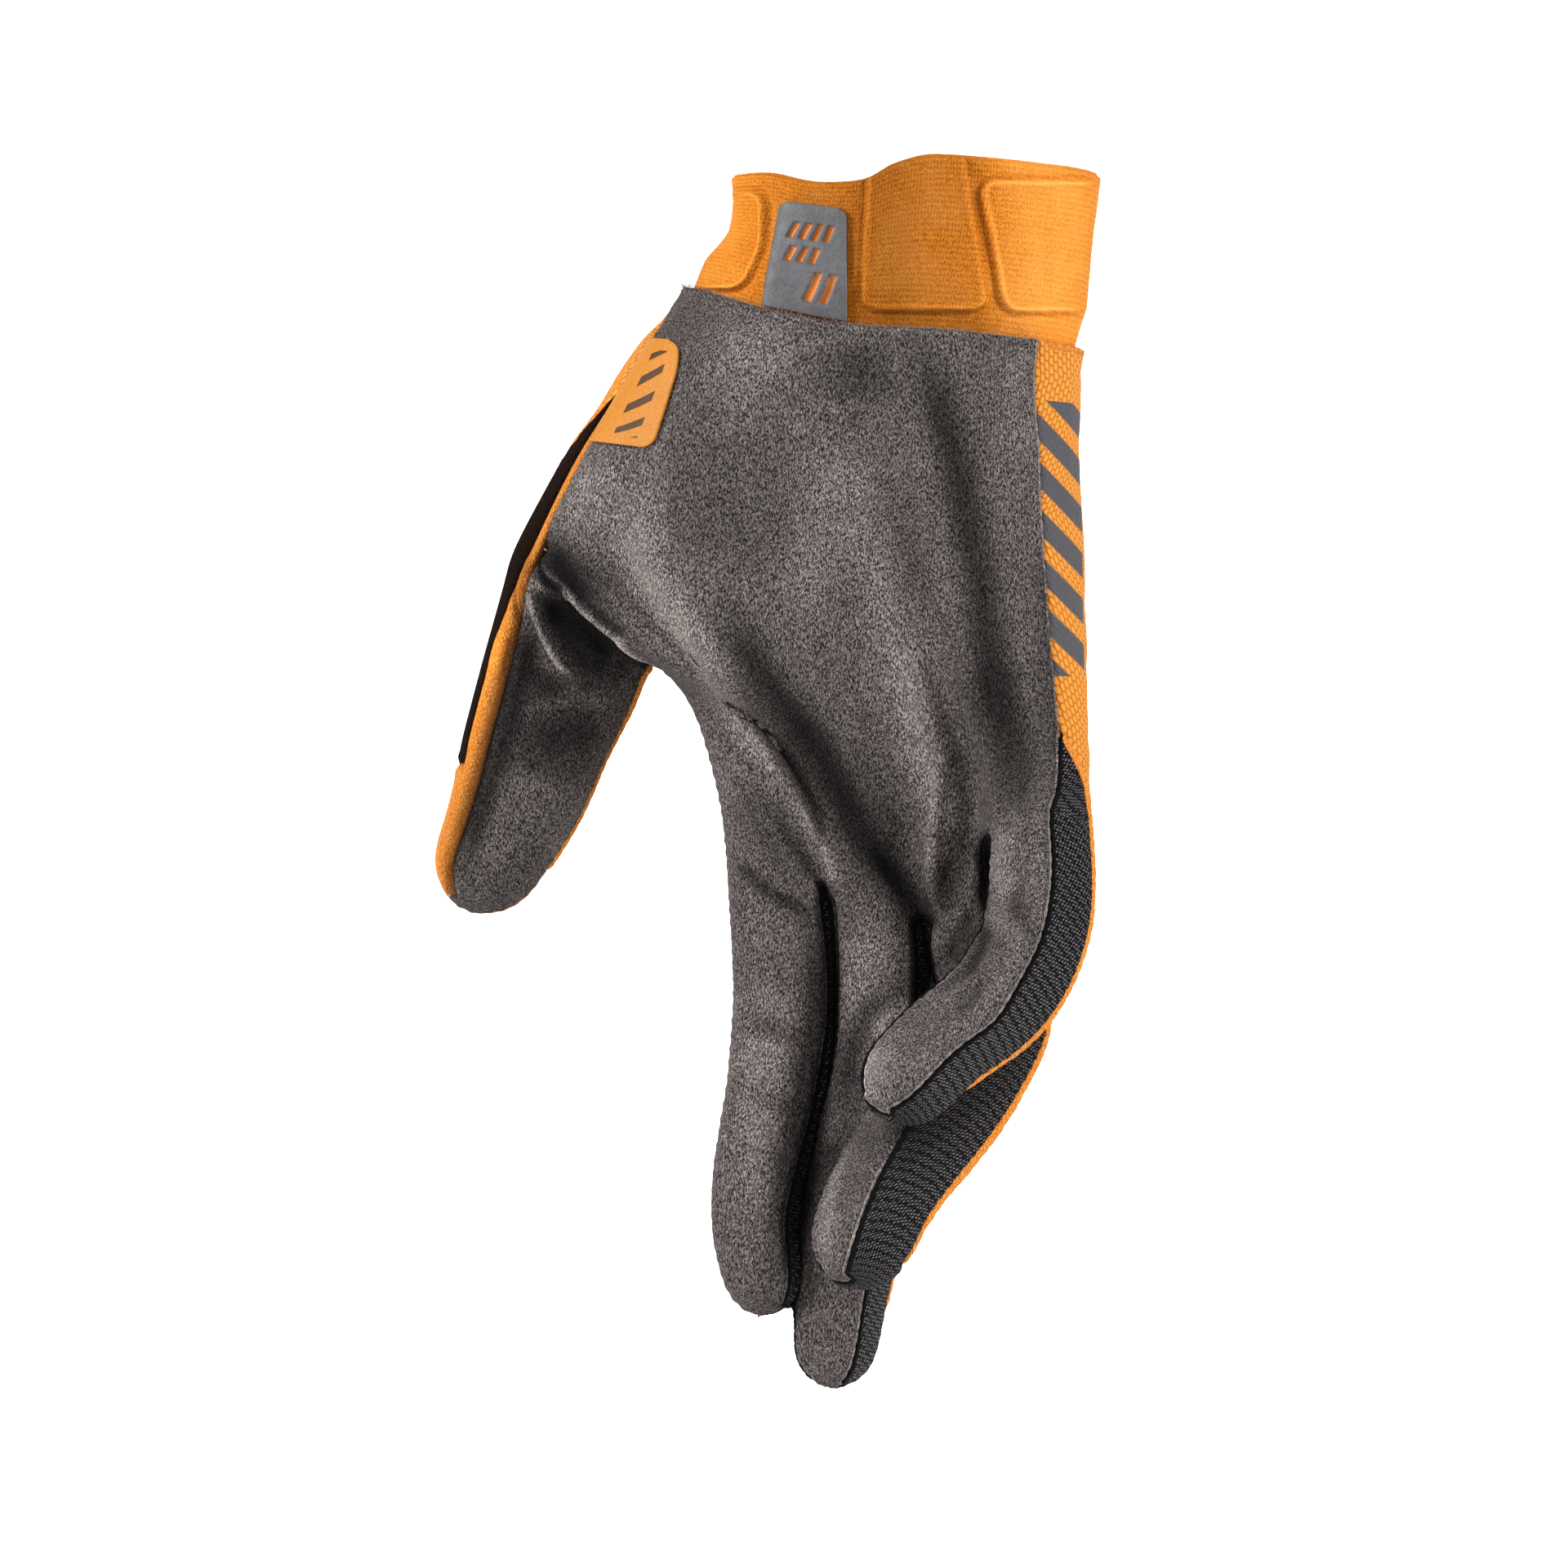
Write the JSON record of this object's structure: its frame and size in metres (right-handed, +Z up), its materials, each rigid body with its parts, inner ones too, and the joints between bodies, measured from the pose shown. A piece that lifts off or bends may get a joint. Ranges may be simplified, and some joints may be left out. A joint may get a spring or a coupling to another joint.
{
  "type": "mountain bike glove",
  "caption": "Full-finger right-hand cycling glove in its worn form: suede palm, knitted mesh back and finger sides, padded stretch cuff with a rubber tab, open hollow for a hand.",
  "frame": {"origin": "middle of the wrist, level with the seam between the cuff and the hand", "axes": "+Z up along the forearm, so the fingers hang down along -Z; the palm faces -Y; the thumb points to -X"},
  "size_m": [0.1179, 0.0716, 0.2159],
  "materials": {
    "suede": "pebbled microsuede, matt",
    "orange_mesh": "knitted stretch mesh",
    "dark_mesh": "ribbed pique knit",
    "wipe_cloth": "soft brushed cloth",
    "cuff_knit": "fine ribbed stretch knit",
    "rubber": "satin moulded rubber",
    "print_orange": "smooth heat-applied film"
  },
  "bodies": {
    "root": {"cuff": "cuff_knit", "cuff_label": "rubber", "palm_panel": "suede", "palm_patch": "print_orange", "back_panel": "orange_mesh", "thumb_palm_panel": "suede", "thumb_side_panel": "orange_mesh", "thumb_wipe_panel": "wipe_cloth", "thumb_back_panel": "orange_mesh", "index_side_panel": "dark_mesh", "index_middle_fourchette": "dark_mesh", "middle_ring_fourchette": "dark_mesh", "ring_little_fourchette": "dark_mesh", "little_side_panel": "dark_mesh"}
  },
  "joints": []
}
